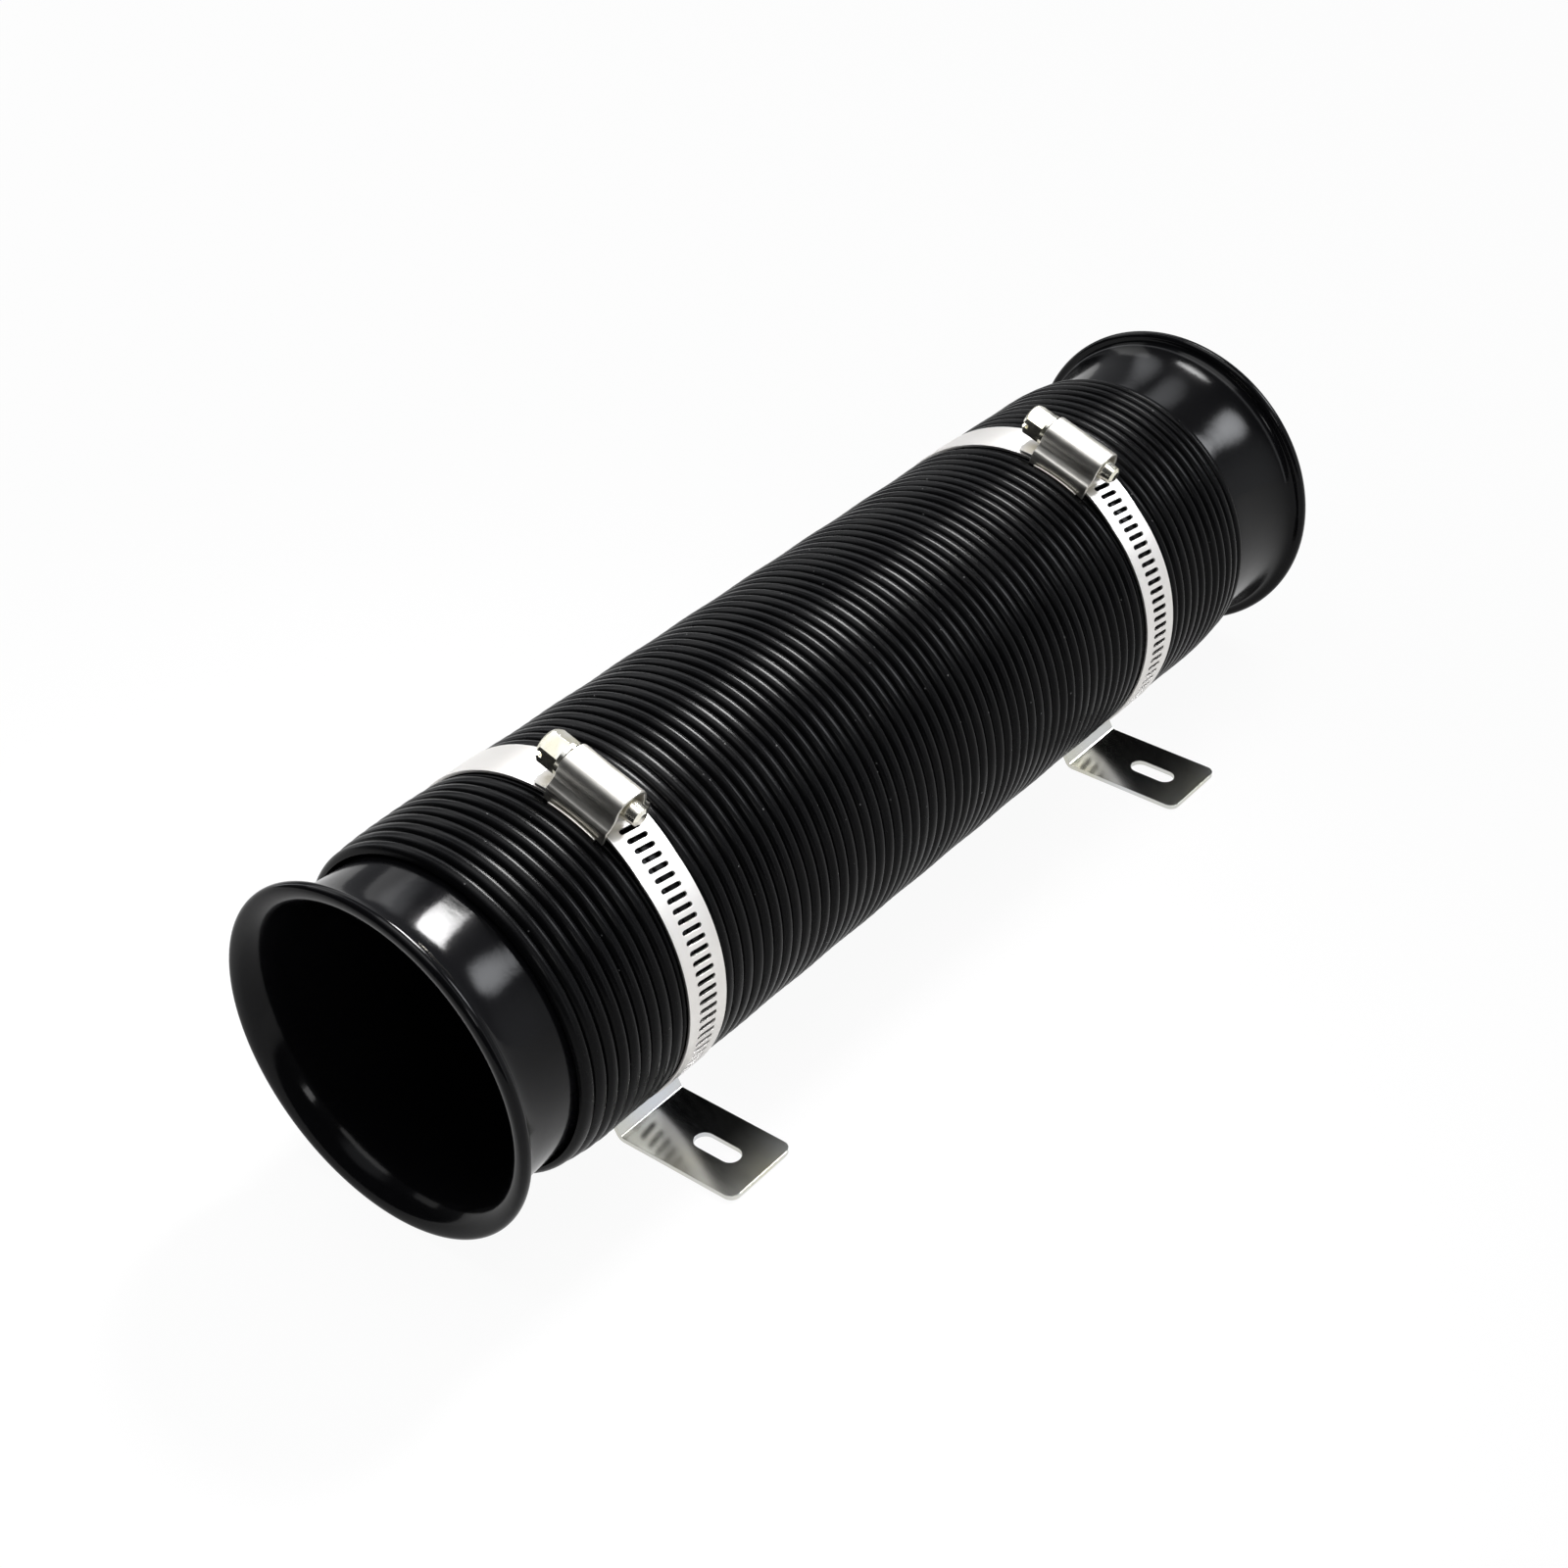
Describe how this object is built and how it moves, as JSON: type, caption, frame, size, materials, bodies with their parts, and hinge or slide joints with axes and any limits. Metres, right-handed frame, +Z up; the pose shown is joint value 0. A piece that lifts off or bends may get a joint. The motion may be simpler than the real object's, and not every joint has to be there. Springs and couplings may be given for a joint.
{
  "type": "flexible air duct",
  "caption": "Ribbed stretch hose with a flared mouth, a worm drive clamp and a slotted foot bracket at each end, carrying air along a bendable path.",
  "frame": {"origin": "on the ground under the middle of the part's bounding box; the feet and the mouths' rims stand on Z = 0", "axes": "+X along the duct from the front mouth to the rear mouth, -Y to the side that the bracket feet point to, +Z up"},
  "size_m": [0.3114, 0.0984, 0.0959],
  "materials": {
    "moulded_gloss_black": "gloss black moulding",
    "ribbed_hose": "satin black",
    "band_steel": "bright rolled strip",
    "pressed_steel": "bright pressed sheet",
    "plated_screw": "zinc plated",
    "polished_steel": "mirror polished sheet"
  },
  "bodies": {
    "front_end": {"hose_front_cuff": "ribbed_hose", "front_adapter": "moulded_gloss_black", "front_band": "band_steel", "front_saddle": "pressed_steel", "front_housing": "pressed_steel", "front_bracket": "polished_steel"},
    "front_worm": {"front_screw": "plated_screw"},
    "stretch_1": {"hose_section_1": "ribbed_hose"},
    "stretch_2": {"hose_section_2": "ribbed_hose"},
    "stretch_3": {"hose_section_3": "ribbed_hose"},
    "stretch_4": {"hose_section_4": "ribbed_hose"},
    "stretch_5": {"hose_section_5": "ribbed_hose"},
    "rear_end": {"hose_rear_cuff": "ribbed_hose", "rear_adapter": "moulded_gloss_black", "rear_band": "band_steel", "rear_saddle": "pressed_steel", "rear_housing": "pressed_steel", "rear_bracket": "polished_steel"},
    "rear_worm": {"rear_screw": "plated_screw"}
  },
  "joints": [
    {"name": "bend_left", "type": "hinge", "parent": "front_end", "child": "stretch_1", "pos_m": [-0.0771, 0.04785, 0.0429], "axis": [0, 0, 1], "range_deg": [0, 40]},
    {"name": "stretch_front", "type": "slide", "parent": "stretch_1", "child": "stretch_2", "axis": [1, 0, 0], "range_m": [0, 0.06]},
    {"name": "bend_up", "type": "hinge", "parent": "stretch_2", "child": "stretch_3", "pos_m": [-0.0227, 0.00635, 0.0844], "axis": [0, -1, 0], "range_deg": [0, 40]},
    {"name": "stretch_middle", "type": "slide", "parent": "stretch_3", "child": "stretch_4", "axis": [1, 0, 0], "range_m": [0, 0.06]},
    {"name": "bend_right", "type": "hinge", "parent": "stretch_4", "child": "stretch_5", "pos_m": [0.0317, -0.03515, 0.0429], "axis": [0, 0, -1], "range_deg": [0, 40]},
    {"name": "stretch_rear", "type": "slide", "parent": "stretch_5", "child": "rear_end", "axis": [1, 0, 0], "range_m": [0, 0.06]},
    {"name": "front_screw_turn", "type": "hinge", "parent": "front_end", "child": "front_worm", "pos_m": [-0.097, -0.00796, 0.08693], "axis": [0, 0.9511, 0.309], "continuous": true},
    {"name": "rear_screw_turn", "type": "hinge", "parent": "rear_end", "child": "rear_worm", "pos_m": [0.0829, -0.00796, 0.08693], "axis": [0, 0.9511, 0.309], "continuous": true}
  ],
  "couplings": [
    {"joint": "stretch_middle", "follows": "stretch_front", "ratio": 1},
    {"joint": "stretch_rear", "follows": "stretch_front", "ratio": 1}
  ]
}
